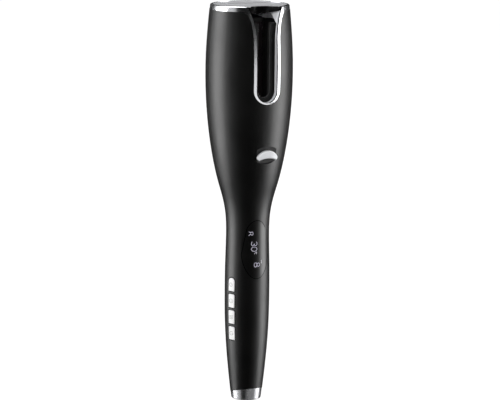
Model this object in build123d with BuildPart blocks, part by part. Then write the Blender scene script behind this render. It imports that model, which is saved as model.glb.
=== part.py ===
from build123d import *
import os
from math import acos, asin, atan2, cos, hypot, pi, radians, sin, sqrt, tan

# Cordless automatic hair curler, in millimetres, +Z up, standing on its base band.
# The hair slot, the curl button and the display face -Y. The origin is the middle of
# the resting face. Hair goes in through the slot, the slotted guide drum turns about Z
# and winds it round the heated barrel, which stands still in the middle.
#
# Azimuth is measured from the front (-Y) and grows towards +X.

os.makedirs("parts", exist_ok=True)

# ------------------------------------------------------------------ driving dimensions
overall_height = 280.0
wall = 1.8
running_fit = 0.05
button_gap = 0.15

# Outer form: radius and height. The ends reach past the base and the top.
form_points = [
    (10.38, -2.0), (12.6, 17.2), (14.25, 34.7), (15.42, 54.0), (15.8, 77.0),
    (15.6, 99.0), (15.16, 121.5), (15.74, 133.0), (17.86, 144.3), (21.1, 155.7),
    (23.88, 167.1), (26.9, 184.0), (29.4, 206.5), (30.4, 231.5), (29.9, 251.2),
    (28.2, 273.4), (27.4, 282.0),
]

# Base band and end cap
band_height = 5.5
band_slope = 2.9 / 10.6
band_inset = 0.2
band_bore = 8.4
band_edge = 0.7

# Slot, its chrome trim and the top ring
slot_half_width = 8.0
slot_bottom = 214.3
trim_width = 1.8
trim_bottom = 213.3
ring_bottom = 276.4
ring_bore = 25.9
ring_inset = 0.2
lining_thickness = 1.2
flare_start = 257.0
mouth_flare = [(0.9, 266.5), (2.2, 272.0), (4.0, 277.0), (6.6, 281.5)]
trim_flare = [(0.7, 265.0), (2.1, 271.3), (3.7, 274.6), (6.6, 276.35)]
prism_start = 8.0
prism_top = 284.0
prism_reach = 40.0

# Curling chamber, guide drum and barrel
liner_radius = 25.2
liner_thickness = 1.2
liner_top = 268.0
drum_radius = 23.2
drum_thickness = 1.8
drum_floor = 206.5
drum_floor_thickness = 2.0
drum_top = 268.6
drum_slot_half_width = 4.5
drum_slot_bottom = 217.5
sleeve_radius = 13.5
sleeve_bore = 11.5
barrel_radius = 9.5
barrel_wall = 1.3
barrel_bottom = 211.0
barrel_top = 268.0
floor_bottom = 202.0
floor_thickness = 2.5

# Gearbox
lower_plate = 183.0
upper_plate = 193.0
plate_thickness = 2.0
lower_layer = 185.5
upper_layer = 189.3
layer_height = 3.0
guide_gear_bottom = 196.3
guide_gear_height = 3.4
guide_module = 0.8
train_module = 0.5
guide_teeth = 36
output_pinion_teeth = 12
output_wheel_teeth = 20
idler_pinion_teeth = 12
idler_wheel_teeth = 24
motor_pinion_teeth = 12
pressure_angle = radians(25)
backlash = 0.12

# Motor
motor_y = 3.0
motor_radius = 8.2
motor_bottom = 157.0
shaft_radius = 1.0

# Cells and boards
cell_radius = 9.1
cell_length = 65.0
lower_cell = (1.2, 17.5)
upper_cell = (3.2, 84.0)
board_front = -8.9
board_back = -8.1

# Display window
window_half_width = 10.4
window_low = 89.2
window_high = 130.1

# Side keys
key_azimuth = -69.0
key_width = 5.4
key_height = 9.5
key_pitch = 11.67
key_count = 4
key_group_middle = 66.5
key_proud = 0.35
key_corner = 0.9
key_edge = 0.3

# Curl button
# The outline is a bean: an arch on top, two feet below and a hollow between them
button_middle_x = 2.2
button_high = 181.0
button_shoulder = 176.4
button_half_width = 7.7
button_foot_bend = (7.35, 174.9)
button_low = 174.1
button_foot = 6.05
button_hollow = 175.6
button_front = 28.1
button_face_radius = 21.0
button_edge = 0.7
button_dome_height = 178.6
flange_margin = 0.9
scoop_size = (10.2, 6.2)
scoop_middle = 177.7
scoop_distance = 24.75
scoop_tilt = 0.17
pad_size = (12.5, 9.0)
pad_middle = 177.4
pad_back = 20.6
switch_board_front = 15.4
switch_middle = 176.5

# Smaller shared sizes
lip_low, lip_high = 14.0, 262.0
ring_edge = 1.2
cap_radius = 25.8
collar_radius = 25.5
notch_inner, notch_outer, notch_depth = 7.0, 12.4, 13.0
notch_corner = -notch_depth - 3.0
notch_waist = (8.6, -20.0)
spigot_radius = 8.95
spigot_top = 12.0
bush_radius = 15.2
post_bore = 8.0
guide_screw_circle = 12.5
guide_screw_radius = 0.6
magnet_place = (-19.2, -4.5)
magnet_radius = 1.5
magnet_depth = 1.2
output_direction = radians(60)
output_shaft_radius = 1.2
pillar_circle = 21.0
pillar_angles = (150, 215, 335)
lead_places = [(-2.6, -6.5), (2.6, -6.5)]
motor_screw_places = [(-6.0, 3.0), (0.0, -2.9)]
charge_board_back = 2.63
cradle_bottom, cradle_top = 15.4, 149.5
rail_middle = 9.55
board_low, board_high = 42.0, 148.0
key_board_distance = 9.0
flange_distance = 11.8


# ------------------------------------------------------------------ shared shapes
def revolved_form(inset):
    """The outer form, moved in by inset, as one solid."""
    with BuildPart() as form:
        with BuildSketch(Plane.XZ):
            with BuildLine():
                skin = Spline(*[(radius - inset, z) for radius, z in form_points])
                Polyline(skin @ 1, (0, form_points[-1][1]), (0, form_points[0][1]), skin @ 0)
            make_face()
        revolve(axis=Axis.Z)
    return form.part


def mouth_prism(half_width, bottom, flare, end_direction):
    """Prism through the front wall: round at its bottom, flared at its top."""
    middle = bottom + half_width
    side_points = [(half_width + out, z) for out, z in flare]
    with BuildPart() as prism:
        with BuildSketch(Plane.XZ.offset(prism_start)):
            with BuildLine():
                CenterArc((0, middle), half_width, -90, 90)
                Line((half_width, middle), (half_width, flare_start))
                side = Spline((half_width, flare_start), *side_points, tangents=[(0, 1), end_direction])
                Polyline(side @ 1, ((side @ 1).X, prism_top), (0, prism_top))
                mirror(about=Plane.YZ)
            make_face()
        extrude(amount=prism_reach)
    return prism.part


def side_plane(azimuth, height, distance=0.0):
    """Plane square to an azimuth, with x along the skin and y up."""
    normal = Vector(sin(radians(azimuth)), -cos(radians(azimuth)), 0)
    along = Vector(cos(radians(azimuth)), sin(radians(azimuth)), 0)
    return Plane(origin=normal * distance + Vector(0, 0, height), x_dir=along, z_dir=normal)


def tube(inner, outer, low, high):
    """Draw a round tube on the Z axis in the open part."""
    with BuildSketch(Plane.XY.offset(low)) as ring:
        Circle(outer)
        Circle(inner, mode=Mode.SUBTRACT)
    extrude(ring.sketch, amount=high - low)


def gear_points(teeth, module, phase):
    """Corners of an involute gear. phase is the angle of the middle of one tooth."""
    pitch_radius = teeth * module / 2
    base_radius = pitch_radius * cos(pressure_angle)
    root_radius = pitch_radius - 1.2 * module
    tip_radius = pitch_radius + 0.9 * module
    involute_at_pitch = tan(pressure_angle) - pressure_angle
    half_tooth = pi / (2 * teeth) - backlash / (2 * pitch_radius)
    flank_start = max(base_radius, root_radius)
    steps = 4
    flank = [root_radius] if flank_start > root_radius else []
    flank += [flank_start + (tip_radius - flank_start) * i / steps for i in range(steps + 1)]
    profile = []
    for radius in flank:
        roll = acos(min(1.0, base_radius / radius))
        profile.append((radius, half_tooth + involute_at_pitch - (tan(roll) - roll)))
    points = []
    for tooth in range(teeth):
        middle = phase + 2 * pi * tooth / teeth
        for radius, half in profile:
            points.append((radius * cos(middle - half), radius * sin(middle - half)))
        for radius, half in reversed(profile):
            points.append((radius * cos(middle + half), radius * sin(middle + half)))
    return points


def mesh_phase(teeth_a, phase_a, teeth_b, direction):
    """Phase that puts gear b in mesh with gear a. direction points from a to b."""
    fraction_a = (phase_a - direction) * teeth_a / (2 * pi)
    return direction + pi + (0.5 - fraction_a) * 2 * pi / teeth_b


def draw_gear(teeth, module, phase, middle, low, height):
    """Draw a solid spur gear in the open part."""
    with BuildSketch(Plane(origin=(middle[0], middle[1], low))) as outline:
        with BuildLine():
            Polyline(*gear_points(teeth, module, phase), close=True)
        make_face()
    extrude(outline.sketch, amount=height)


def draw_bean(margin):
    """Draw the curl button's outline, grown by margin, in the open sketch."""
    middle = button_middle_x
    reach = button_half_width + margin
    foot = button_foot + 0.2 * margin
    low = button_low - margin
    bend_reach = button_foot_bend[0] + 0.8 * margin
    bend_height = button_foot_bend[1] - 0.6 * margin
    with BuildLine() as edge:
        ThreePointArc((middle - reach, button_shoulder), (middle, button_high + margin),
                      (middle + reach, button_shoulder))
        for side in (-1, 1):
            ThreePointArc((middle + side * reach, button_shoulder),
                          (middle + side * bend_reach, bend_height),
                          (middle + side * foot, low))
        ThreePointArc((middle - foot, low), (middle, button_hollow - margin), (middle + foot, low))
    make_face(edge.edges())


def draw_key(margin, index):
    """Draw one side key's outline in the open sketch. The end keys have a round end."""
    width = key_width + 2 * margin
    Rectangle(width, key_height + 2 * margin)
    upper, lower = vertices().group_by(Axis.Y)[-1], vertices().group_by(Axis.Y)[0]
    corner = key_corner + margin
    full_round = width / 2 - 0.02
    fillet(upper, full_round if index == 0 else corner)
    fillet(lower, full_round if index == key_count - 1 else corner)


def wire_run(points, bend, radius):
    """Draw one insulated wire in the open part: straight runs joined by tangent arcs."""
    with BuildLine() as path:
        FilletPolyline(*points, radius=bend)
    start = path.line @ 0
    with BuildSketch(Plane(origin=start, z_dir=path.line % 0)) as section:
        Circle(radius)
    sweep(section.sketch, path=path.line)


outer_form = revolved_form(0)
cavity_form = revolved_form(wall)
lip_form = revolved_form(wall - 0.8)
lip_groove_form = revolved_form(wall - 0.9)
ring_form = revolved_form(ring_inset)
band_form = revolved_form(band_inset)
key_face_form = revolved_form(-key_proud)
slot_prism = mouth_prism(slot_half_width, slot_bottom, mouth_flare, (0.5, 0.87))
lining_prism = mouth_prism(slot_half_width + lining_thickness, slot_bottom - lining_thickness,
                           mouth_flare, (0.5, 0.87))
trim_prism = mouth_prism(slot_half_width + trim_width, trim_bottom, trim_flare, (1, 0))
button_azimuth = asin(button_middle_x / button_front)
scoop_plane = Plane(origin=(scoop_distance * sin(button_azimuth), -scoop_distance * cos(button_azimuth),
                            scoop_middle),
                    x_dir=(cos(button_azimuth), sin(button_azimuth), 0),
                    z_dir=(sin(button_azimuth), -cos(button_azimuth), -scoop_tilt))
band_plane = Plane(origin=(0, 0, band_height), z_dir=(0, band_slope, 1))
key_middles = [key_group_middle + key_pitch * (key_count - 1) / 2 - key_pitch * i
               for i in range(key_count)]


# ------------------------------------------------------------------ casing
lip_height = 1.2
window_middle = (window_low + window_high) / 2
window_half_height = (window_high - window_low) / 2
post_places = [(-7.2, 83.5), (7.2, 83.5), (-7.2, 138.0), (7.2, 138.0)]
switch_posts = [(button_middle_x - 6.0, 167.5), (button_middle_x + 6.0, 167.5)]
half_space = 80.0

with BuildPart() as button_pad:
    # Local thickening behind the curl button, flat at its back
    with BuildSketch(Plane.XZ.offset(pad_back)):
        with Locations((button_middle_x, pad_middle)):
            Ellipse(*pad_size)
    extrude(amount=12)
    add(lip_form, mode=Mode.INTERSECT)

with BuildPart() as button_scoop:
    # Shallow dish round the curl button
    with BuildSketch(scoop_plane):
        Ellipse(*scoop_size)
    extrude(amount=8)

with BuildPart() as lip_groove:
    # Room in the front casing for the rear casing's lip
    with BuildSketch(Plane.XZ):
        with Locations((0, overall_height / 2)):
            Rectangle(half_space, overall_height + 10)
    extrude(amount=lip_height + 0.1)
    add(lip_groove_form, mode=Mode.INTERSECT)

with BuildPart() as casing_lip:
    # Lip of the rear casing that reaches into the front casing
    add(lip_form)
    add(cavity_form, mode=Mode.SUBTRACT)
    split(bisect_by=Plane.XZ, keep=Keep.TOP)
    split(bisect_by=Plane.XZ.offset(lip_height), keep=Keep.BOTTOM)
    split(bisect_by=Plane.XY.offset(lip_low), keep=Keep.TOP)
    split(bisect_by=Plane.XY.offset(lip_high), keep=Keep.BOTTOM)

with BuildPart() as top_ring:
    # Rounded ring that closes the head's edge, part of the slot trim
    add(ring_form)
    split(bisect_by=Plane.XY.offset(ring_bottom), keep=Keep.TOP)
    split(bisect_by=Plane.XY.offset(overall_height), keep=Keep.BOTTOM)
    fillet(top_ring.faces().sort_by(Axis.Z)[-1].edges(), ring_edge)
    Cylinder(ring_bore, 2 * overall_height, mode=Mode.SUBTRACT)

with BuildPart() as front_casing:
    add(outer_form)
    add(cavity_form, mode=Mode.SUBTRACT)
    split(bisect_by=Plane.XZ, keep=Keep.TOP)
    split(bisect_by=band_plane, keep=Keep.TOP)
    split(bisect_by=Plane.XY.offset(ring_bottom), keep=Keep.BOTTOM)
    add(lip_groove.part, mode=Mode.SUBTRACT)
    add(trim_prism, mode=Mode.SUBTRACT)
    add(button_pad.part)
    add(button_scoop.part, mode=Mode.SUBTRACT)
    with BuildSketch(Plane.XZ.offset(pad_back - 2)):
        draw_bean(button_gap)
    extrude(amount=12, mode=Mode.SUBTRACT)
    with BuildSketch(Plane.XZ.offset(8)):
        with Locations((0, window_middle)):
            Ellipse(window_half_width, window_half_height)
    extrude(amount=12, mode=Mode.SUBTRACT)
    for index, middle in enumerate(key_middles):
        with BuildSketch(side_plane(key_azimuth, middle, 10)):
            draw_key(button_gap, index)
        extrude(amount=10, mode=Mode.SUBTRACT)
    # Posts that carry the main board
    with BuildSketch(Plane.XZ.offset(-board_front)):
        with Locations(*post_places):
            Circle(1.3)
    extrude(until=Until.NEXT)
    with BuildSketch(Plane.XZ.offset(switch_board_front)):
        with Locations(*switch_posts):
            Circle(1.3)
    extrude(until=Until.NEXT)
front_casing.part.label = "front_casing"
export_step(front_casing.part, "parts/front_casing.step")

with BuildPart() as rear_casing:
    add(outer_form)
    add(cavity_form, mode=Mode.SUBTRACT)
    split(bisect_by=Plane.XZ, keep=Keep.BOTTOM)
    split(bisect_by=band_plane, keep=Keep.TOP)
    split(bisect_by=Plane.XY.offset(ring_bottom), keep=Keep.BOTTOM)
    add(casing_lip.part)
rear_casing.part.label = "rear_casing"
export_step(rear_casing.part, "parts/rear_casing.step")

with BuildPart() as slot_trim:
    # Chrome surround: the top ring and the two legs that join under the slot
    add(outer_form)
    add(cavity_form, mode=Mode.SUBTRACT)
    add(trim_prism, mode=Mode.INTERSECT)
    split(bisect_by=Plane.XY.offset(ring_bottom), keep=Keep.BOTTOM)
    add(top_ring.part)
    add(slot_prism, mode=Mode.SUBTRACT)
slot_trim.part.label = "slot_trim"
export_step(slot_trim.part, "parts/slot_trim.step")

with BuildPart() as slot_lining:
    # Satin channel that lines the slot from the trim to the curling chamber
    add(cavity_form)
    Cylinder(liner_radius, 2 * overall_height, mode=Mode.SUBTRACT)
    add(lining_prism, mode=Mode.INTERSECT)
    add(slot_prism, mode=Mode.SUBTRACT)
    split(bisect_by=Plane.XY.offset(liner_top), keep=Keep.BOTTOM)
slot_lining.part.label = "slot_lining"
export_step(slot_lining.part, "parts/slot_lining.step")

with BuildPart() as base_band:
    add(band_form)
    split(bisect_by=Plane.XY, keep=Keep.TOP)
    fillet(base_band.faces().sort_by(Axis.Z)[0].edges(), band_edge)
    split(bisect_by=band_plane, keep=Keep.BOTTOM)
    # Spigot that holds the casing halves together
    tube(band_bore - 1, spigot_radius, 1.0, spigot_top)
    Cylinder(band_bore, 60, mode=Mode.SUBTRACT)
base_band.part.label = "base_band"
export_step(base_band.part, "parts/base_band.step")

with BuildPart() as end_cap:
    with BuildSketch(Plane.XY.offset(0.3)):
        Circle(band_bore)
        SlotOverall(9.3, 3.6, mode=Mode.SUBTRACT)
    extrude(amount=1.7)
    chamfer(end_cap.faces().sort_by(Axis.Z)[0].outer_wire().edges(), 0.3)
end_cap.part.label = "end_cap"
export_step(end_cap.part, "parts/end_cap.step")

with BuildPart() as usb_socket:
    # Steel shell with its contact tongue
    with BuildSketch(Plane.XY.offset(0.5)):
        SlotOverall(8.94, 3.26)
    extrude(amount=7.3)
    with BuildSketch(Plane.XY.offset(0.5)):
        SlotOverall(8.34, 2.66)
    extrude(amount=6.5, mode=Mode.SUBTRACT)
    with BuildSketch(Plane.XY.offset(1.6)):
        Rectangle(6.7, 0.7)
    extrude(amount=5.6)
usb_socket.part.label = "usb_socket"
export_step(usb_socket.part, "parts/usb_socket.step")


# ------------------------------------------------------------------ top of the head
with BuildPart() as top_cap:
    # Brushed cover plate, slightly dished, conical below, notched for the hair
    with BuildSketch(Plane.XZ):
        with BuildLine():
            Polyline((0, 274.0), (12.0, 274.0), (cap_radius, 277.0), (cap_radius, 279.4))
            ThreePointArc((cap_radius, 279.4), (cap_radius - 0.15, 279.6), (cap_radius - 0.4, 279.7))
            ThreePointArc((cap_radius - 0.4, 279.7), (13.0, 279.25), (0, 279.1))
            Line((0, 279.1), (0, 274.0))
        make_face()
    revolve(axis=Axis.Z)
    with BuildSketch(Plane.XY.offset(270)):
        with BuildLine():
            ThreePointArc((-notch_inner, notch_corner), (0, -notch_depth), (notch_inner, notch_corner))
            Spline((notch_inner, notch_corner), notch_waist, (notch_outer, -26.0))
            Polyline((notch_outer, -26.0), (notch_outer, -30), (-notch_outer, -30), (-notch_outer, -26.0))
            Spline((-notch_outer, -26.0), (-notch_waist[0], notch_waist[1]), (-notch_inner, notch_corner))
        make_face()
    extrude(amount=12, mode=Mode.SUBTRACT)
top_cap.part.label = "top_cap"
export_step(top_cap.part, "parts/top_cap.step")

with BuildPart() as chamber_collar:
    # Funnel-shaped ring under the cover plate
    with BuildSketch(Plane.XZ):
        with BuildLine():
            Polyline((collar_radius, liner_top), (collar_radius, 276.65), (16.0, 274.3), (16.0, 273.8),
                     (25.0, liner_top), close=True)
        make_face()
    revolve(axis=Axis.Z)
    add(slot_prism, mode=Mode.SUBTRACT)
chamber_collar.part.label = "chamber_collar"
export_step(chamber_collar.part, "parts/chamber_collar.step")

with BuildPart() as chamber_liner:
    tube(liner_radius, liner_radius + liner_thickness, floor_bottom + floor_thickness, liner_top)
    add(lining_prism, mode=Mode.SUBTRACT)
chamber_liner.part.label = "chamber_liner"
export_step(chamber_liner.part, "parts/chamber_liner.step")

with BuildPart() as chamber_floor:
    tube(bush_radius, 26.9, floor_bottom, floor_bottom + floor_thickness)
    with BuildSketch(Plane.XY.offset(upper_plate + plate_thickness)):
        for angle in pillar_angles:
            with PolarLocations(pillar_circle + 1.8, 1, start_angle=angle + 17):
                Circle(2.2)
    extrude(amount=floor_bottom - upper_plate - plate_thickness)
    with BuildSketch(Plane.XY.offset(floor_bottom)):
        with Locations(magnet_place):
            Rectangle(3.0, 2.6)
    extrude(amount=floor_thickness, mode=Mode.SUBTRACT)
chamber_floor.part.label = "chamber_floor"
export_step(chamber_floor.part, "parts/chamber_floor.step")

with BuildPart() as guide_bearing:
    tube(sleeve_radius + running_fit, bush_radius, floor_bottom, drum_floor - 0.3)
    tube(sleeve_radius + running_fit, 17.0, floor_bottom + floor_thickness, drum_floor - 0.3)
guide_bearing.part.label = "guide_bearing"
export_step(guide_bearing.part, "parts/guide_bearing.step")


# ------------------------------------------------------------------ rotating guide
with BuildPart() as guide_drum:
    tube(drum_radius - drum_thickness, drum_radius, drum_floor, drum_top)
    tube(sleeve_bore, drum_radius, drum_floor, drum_floor + drum_floor_thickness)
    tube(sleeve_bore, sleeve_radius, guide_gear_bottom + guide_gear_height, drum_floor)
    # Slot that carries the strand, with inward lips on both its edges
    with BuildSketch(Plane.XY.offset(drum_floor)):
        for side in (-1, 1):
            with Locations((side * (drum_slot_half_width + 0.9), -20.6)):
                Rectangle(1.8, 3.4)
    extrude(amount=drum_top - drum_floor)
    with BuildSketch(Plane.XZ.offset(15)):
        with BuildLine():
            CenterArc((0, drum_slot_bottom + drum_slot_half_width), drum_slot_half_width, 180, 180)
            Spline((drum_slot_half_width, drum_slot_bottom + drum_slot_half_width),
                   (drum_slot_half_width, 255.0), (drum_slot_half_width + 1.3, drum_top + 1),
                   tangents=[(0, 1), (0.25, 0.97)])
            Line((drum_slot_half_width + 1.3, drum_top + 1), (-drum_slot_half_width - 1.3, drum_top + 1))
            Spline((-drum_slot_half_width - 1.3, drum_top + 1), (-drum_slot_half_width, 255.0),
                   (-drum_slot_half_width, drum_slot_bottom + drum_slot_half_width),
                   tangents=[(0.25, -0.97), (0, -1)])
        make_face()
    extrude(amount=12, mode=Mode.SUBTRACT)
    with BuildSketch(Plane.XY.offset(guide_gear_bottom + guide_gear_height)):
        with PolarLocations(guide_screw_circle, 3, start_angle=30):
            Circle(guide_screw_radius)
    extrude(amount=4, mode=Mode.SUBTRACT)
    with BuildSketch(Plane.XY.offset(drum_floor)):
        with Locations(magnet_place):
            Circle(magnet_radius)
    extrude(amount=magnet_depth, mode=Mode.SUBTRACT)
guide_drum.part.label = "guide_drum"
export_step(guide_drum.part, "parts/guide_drum.step")

guide_phase = 0.0
with BuildPart() as guide_gear:
    draw_gear(guide_teeth, guide_module, guide_phase, (0, 0), guide_gear_bottom, guide_gear_height)
    Cylinder(sleeve_bore, 600, mode=Mode.SUBTRACT)
    with BuildSketch(Plane.XY.offset(guide_gear_bottom)):
        with PolarLocations(guide_screw_circle, 3, start_angle=30):
            Circle(guide_screw_radius)
    extrude(amount=guide_gear_height, mode=Mode.SUBTRACT)
guide_gear.part.label = "guide_gear"
export_step(guide_gear.part, "parts/guide_gear.step")

with BuildPart() as guide_screws:
    with BuildSketch(Plane.XY.offset(guide_gear_bottom)):
        with PolarLocations(guide_screw_circle, 3, start_angle=30):
            Circle(guide_screw_radius)
    extrude(amount=guide_gear_height + 4)
guide_screws.part.label = "guide_screws"
export_step(guide_screws.part, "parts/guide_screws.step")

with BuildPart() as home_magnet:
    with BuildSketch(Plane.XY.offset(drum_floor)):
        with Locations(magnet_place):
            Circle(magnet_radius)
    extrude(amount=magnet_depth)
home_magnet.part.label = "home_magnet"
export_step(home_magnet.part, "parts/home_magnet.step")

with BuildPart() as home_sensor:
    # Hall sensor and its little board, under the chamber floor
    with BuildSketch(Plane.XY.offset(floor_bottom - 1.0)):
        with Locations(magnet_place):
            Rectangle(9, 6)
    extrude(amount=1.0)
    with BuildSketch(Plane.XY.offset(floor_bottom)):
        with Locations(magnet_place):
            Rectangle(2.4, 2.0)
    extrude(amount=floor_thickness + 0.2)
home_sensor.part.label = "home_sensor"
export_step(home_sensor.part, "parts/home_sensor.step")


# ------------------------------------------------------------------ heated barrel
with BuildPart() as barrel_holder:
    # Fixed post through the guide's sleeve, with a flange over the drum's floor
    tube(post_bore, sleeve_bore - 0.5, upper_plate + plate_thickness, barrel_bottom - 1.5)
    tube(post_bore, 12.6, barrel_bottom - 1.6, barrel_bottom)
    tube(post_bore, barrel_radius - barrel_wall, barrel_bottom, barrel_bottom + 3)
barrel_holder.part.label = "barrel_holder"
export_step(barrel_holder.part, "parts/barrel_holder.step")

with BuildPart() as heater_barrel:
    tube(barrel_radius - barrel_wall, barrel_radius, barrel_bottom, barrel_top)
heater_barrel.part.label = "heater_barrel"
export_step(heater_barrel.part, "parts/heater_barrel.step")

with BuildPart() as barrel_cap:
    with BuildSketch(Plane.XZ):
        with BuildLine():
            Polyline((0, barrel_top - 3), (barrel_radius - barrel_wall, barrel_top - 3),
                     (barrel_radius - barrel_wall, barrel_top), (barrel_radius, barrel_top),
                     (barrel_radius, barrel_top + 1.5))
            ThreePointArc((barrel_radius, barrel_top + 1.5), (barrel_radius - 0.6, barrel_top + 2.6),
                          (barrel_radius - 2.0, barrel_top + 3.2))
            Polyline((barrel_radius - 2.0, barrel_top + 3.2), (0, barrel_top + 3.6), (0, barrel_top - 3))
        make_face()
    revolve(axis=Axis.Z)
barrel_cap.part.label = "barrel_cap"
export_step(barrel_cap.part, "parts/barrel_cap.step")

core_low, core_high = barrel_bottom + 4.0, barrel_top - 9.0
with BuildPart() as heater_core:
    # Two aluminium half rounds that press the heating plate against the barrel
    with BuildSketch(Plane.XY.offset(core_low)):
        Circle(barrel_radius - barrel_wall)
        Rectangle(30, 3.0, mode=Mode.SUBTRACT)
    extrude(amount=core_high - core_low)
heater_core.part.label = "heater_core"
export_step(heater_core.part, "parts/heater_core.step")

with BuildPart() as heating_plate:
    with BuildSketch(Plane.XY.offset(core_low + 1)):
        Rectangle(12, 3.0)
    extrude(amount=core_high - core_low - 2)
heating_plate.part.label = "heating_plate"
export_step(heating_plate.part, "parts/heating_plate.step")

with BuildPart() as thermal_fuse:
    with BuildSketch(Plane.XY.offset(core_high)):
        with Locations((-3, 3.4)):
            Circle(1.6)
    extrude(amount=5.0)
thermal_fuse.part.label = "thermal_fuse"
export_step(thermal_fuse.part, "parts/thermal_fuse.step")

with BuildPart() as thermistor:
    with BuildSketch(Plane.XY.offset(core_high)):
        with Locations((3, -3.4)):
            Circle(1.0)
    extrude(amount=3.5)
thermistor.part.label = "thermistor"
export_step(thermistor.part, "parts/thermistor.step")


# ------------------------------------------------------------------ gearbox and motor
guide_pitch = guide_teeth * guide_module / 2
output_distance = guide_pitch + output_pinion_teeth * guide_module / 2
output_place = (output_distance * cos(output_direction), output_distance * sin(output_direction))
wheel_reach = (output_wheel_teeth + idler_pinion_teeth) * train_module / 2
motor_reach = (idler_wheel_teeth + motor_pinion_teeth) * train_module / 2
motor_place = (0.0, motor_y)
span_x, span_y = output_place[0] - motor_place[0], output_place[1] - motor_place[1]
span = hypot(span_x, span_y)
along = (motor_reach ** 2 - wheel_reach ** 2 + span ** 2) / (2 * span)
aside = sqrt(motor_reach ** 2 - along ** 2)
idler_place = (motor_place[0] + (along * span_x - aside * span_y) / span,
               motor_place[1] + (along * span_y + aside * span_x) / span)
to_idler = atan2(idler_place[1] - output_place[1], idler_place[0] - output_place[0])
to_motor = atan2(motor_place[1] - idler_place[1], motor_place[0] - idler_place[0])
output_pinion_phase = mesh_phase(guide_teeth, guide_phase, output_pinion_teeth, output_direction)
output_wheel_phase = 0.0
idler_pinion_phase = mesh_phase(output_wheel_teeth, output_wheel_phase, idler_pinion_teeth, to_idler)
idler_wheel_phase = 0.0
motor_pinion_phase = mesh_phase(idler_wheel_teeth, idler_wheel_phase, motor_pinion_teeth, to_motor)

with BuildPart() as output_gear:
    # Wheel, shaft and the pinion that turns the guide
    draw_gear(output_wheel_teeth, train_module, output_wheel_phase, output_place, upper_layer, layer_height)
    draw_gear(output_pinion_teeth, guide_module, output_pinion_phase, output_place,
              guide_gear_bottom - 0.3, guide_gear_height + 0.6)
    with BuildSketch(Plane.XY.offset(lower_plate + 0.5)):
        with Locations(output_place):
            Circle(output_shaft_radius)
    extrude(amount=guide_gear_bottom + guide_gear_height + 0.8 - lower_plate - 0.5)
output_gear.part.label = "output_gear"
export_step(output_gear.part, "parts/output_gear.step")

with BuildPart() as idler_gear:
    draw_gear(idler_wheel_teeth, train_module, idler_wheel_phase, idler_place, lower_layer, layer_height)
    draw_gear(idler_pinion_teeth, train_module, idler_pinion_phase, idler_place,
              lower_layer + layer_height, upper_layer - lower_layer)
    with BuildSketch(Plane.XY.offset(lower_layer)):
        with Locations(idler_place):
            Circle(shaft_radius + running_fit)
    extrude(amount=upper_layer + layer_height - lower_layer, mode=Mode.SUBTRACT)
idler_gear.part.label = "idler_gear"
export_step(idler_gear.part, "parts/idler_gear.step")

with BuildPart() as idler_pin:
    with BuildSketch(Plane.XY.offset(lower_plate)):
        with Locations(idler_place):
            Circle(shaft_radius)
    extrude(amount=upper_plate + plate_thickness - lower_plate)
idler_pin.part.label = "idler_pin"
export_step(idler_pin.part, "parts/idler_pin.step")

with BuildPart() as gearbox_base:
    with BuildSketch(Plane.XY.offset(lower_plate)):
        Circle(24.4)
        with Locations((0, -30)):
            Rectangle(60, 20, mode=Mode.SUBTRACT)
        with Locations(motor_place):
            Circle(4.0, mode=Mode.SUBTRACT)
        with Locations(idler_place):
            Circle(shaft_radius, mode=Mode.SUBTRACT)
        with Locations(*lead_places):
            Circle(1.3, mode=Mode.SUBTRACT)
        with Locations(*motor_screw_places):
            Circle(1.0, mode=Mode.SUBTRACT)
    extrude(amount=plate_thickness)
    with BuildSketch(Plane.XY.offset(lower_plate)):
        with Locations(output_place):
            Circle(output_shaft_radius + running_fit)
    extrude(amount=plate_thickness, mode=Mode.SUBTRACT)
    with BuildSketch(Plane.XY.offset(lower_plate + plate_thickness)):
        for angle in pillar_angles:
            with PolarLocations(pillar_circle, 1, start_angle=angle):
                Circle(2.2)
    extrude(amount=upper_plate - lower_plate - plate_thickness)
    with BuildSketch(Plane.XY.offset(upper_plate)):
        for angle in pillar_angles:
            with PolarLocations(pillar_circle, 1, start_angle=angle):
                Circle(0.9)
    extrude(amount=-5, mode=Mode.SUBTRACT)
gearbox_base.part.label = "gearbox_base"
export_step(gearbox_base.part, "parts/gearbox_base.step")

with BuildPart() as gearbox_cover:
    with BuildSketch(Plane.XY.offset(upper_plate)):
        Circle(25.6)
        Circle(post_bore, mode=Mode.SUBTRACT)
        with Locations(idler_place):
            Circle(shaft_radius, mode=Mode.SUBTRACT)
        with Locations(output_place):
            Circle(output_shaft_radius + running_fit, mode=Mode.SUBTRACT)
        for angle in pillar_angles:
            with PolarLocations(pillar_circle, 1, start_angle=angle):
                Circle(0.9, mode=Mode.SUBTRACT)
    extrude(amount=plate_thickness)
gearbox_cover.part.label = "gearbox_cover"
export_step(gearbox_cover.part, "parts/gearbox_cover.step")

with BuildPart() as gearbox_screws:
    with BuildSketch(Plane.XY.offset(upper_plate + plate_thickness)):
        for angle in pillar_angles:
            with PolarLocations(pillar_circle, 1, start_angle=angle):
                Circle(1.7)
    extrude(amount=1.2)
    with BuildSketch(Plane.XY.offset(upper_plate + plate_thickness)):
        for angle in pillar_angles:
            with PolarLocations(pillar_circle, 1, start_angle=angle):
                Circle(0.9)
    extrude(amount=-6.5)
gearbox_screws.part.label = "gearbox_screws"
export_step(gearbox_screws.part, "parts/gearbox_screws.step")

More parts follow.
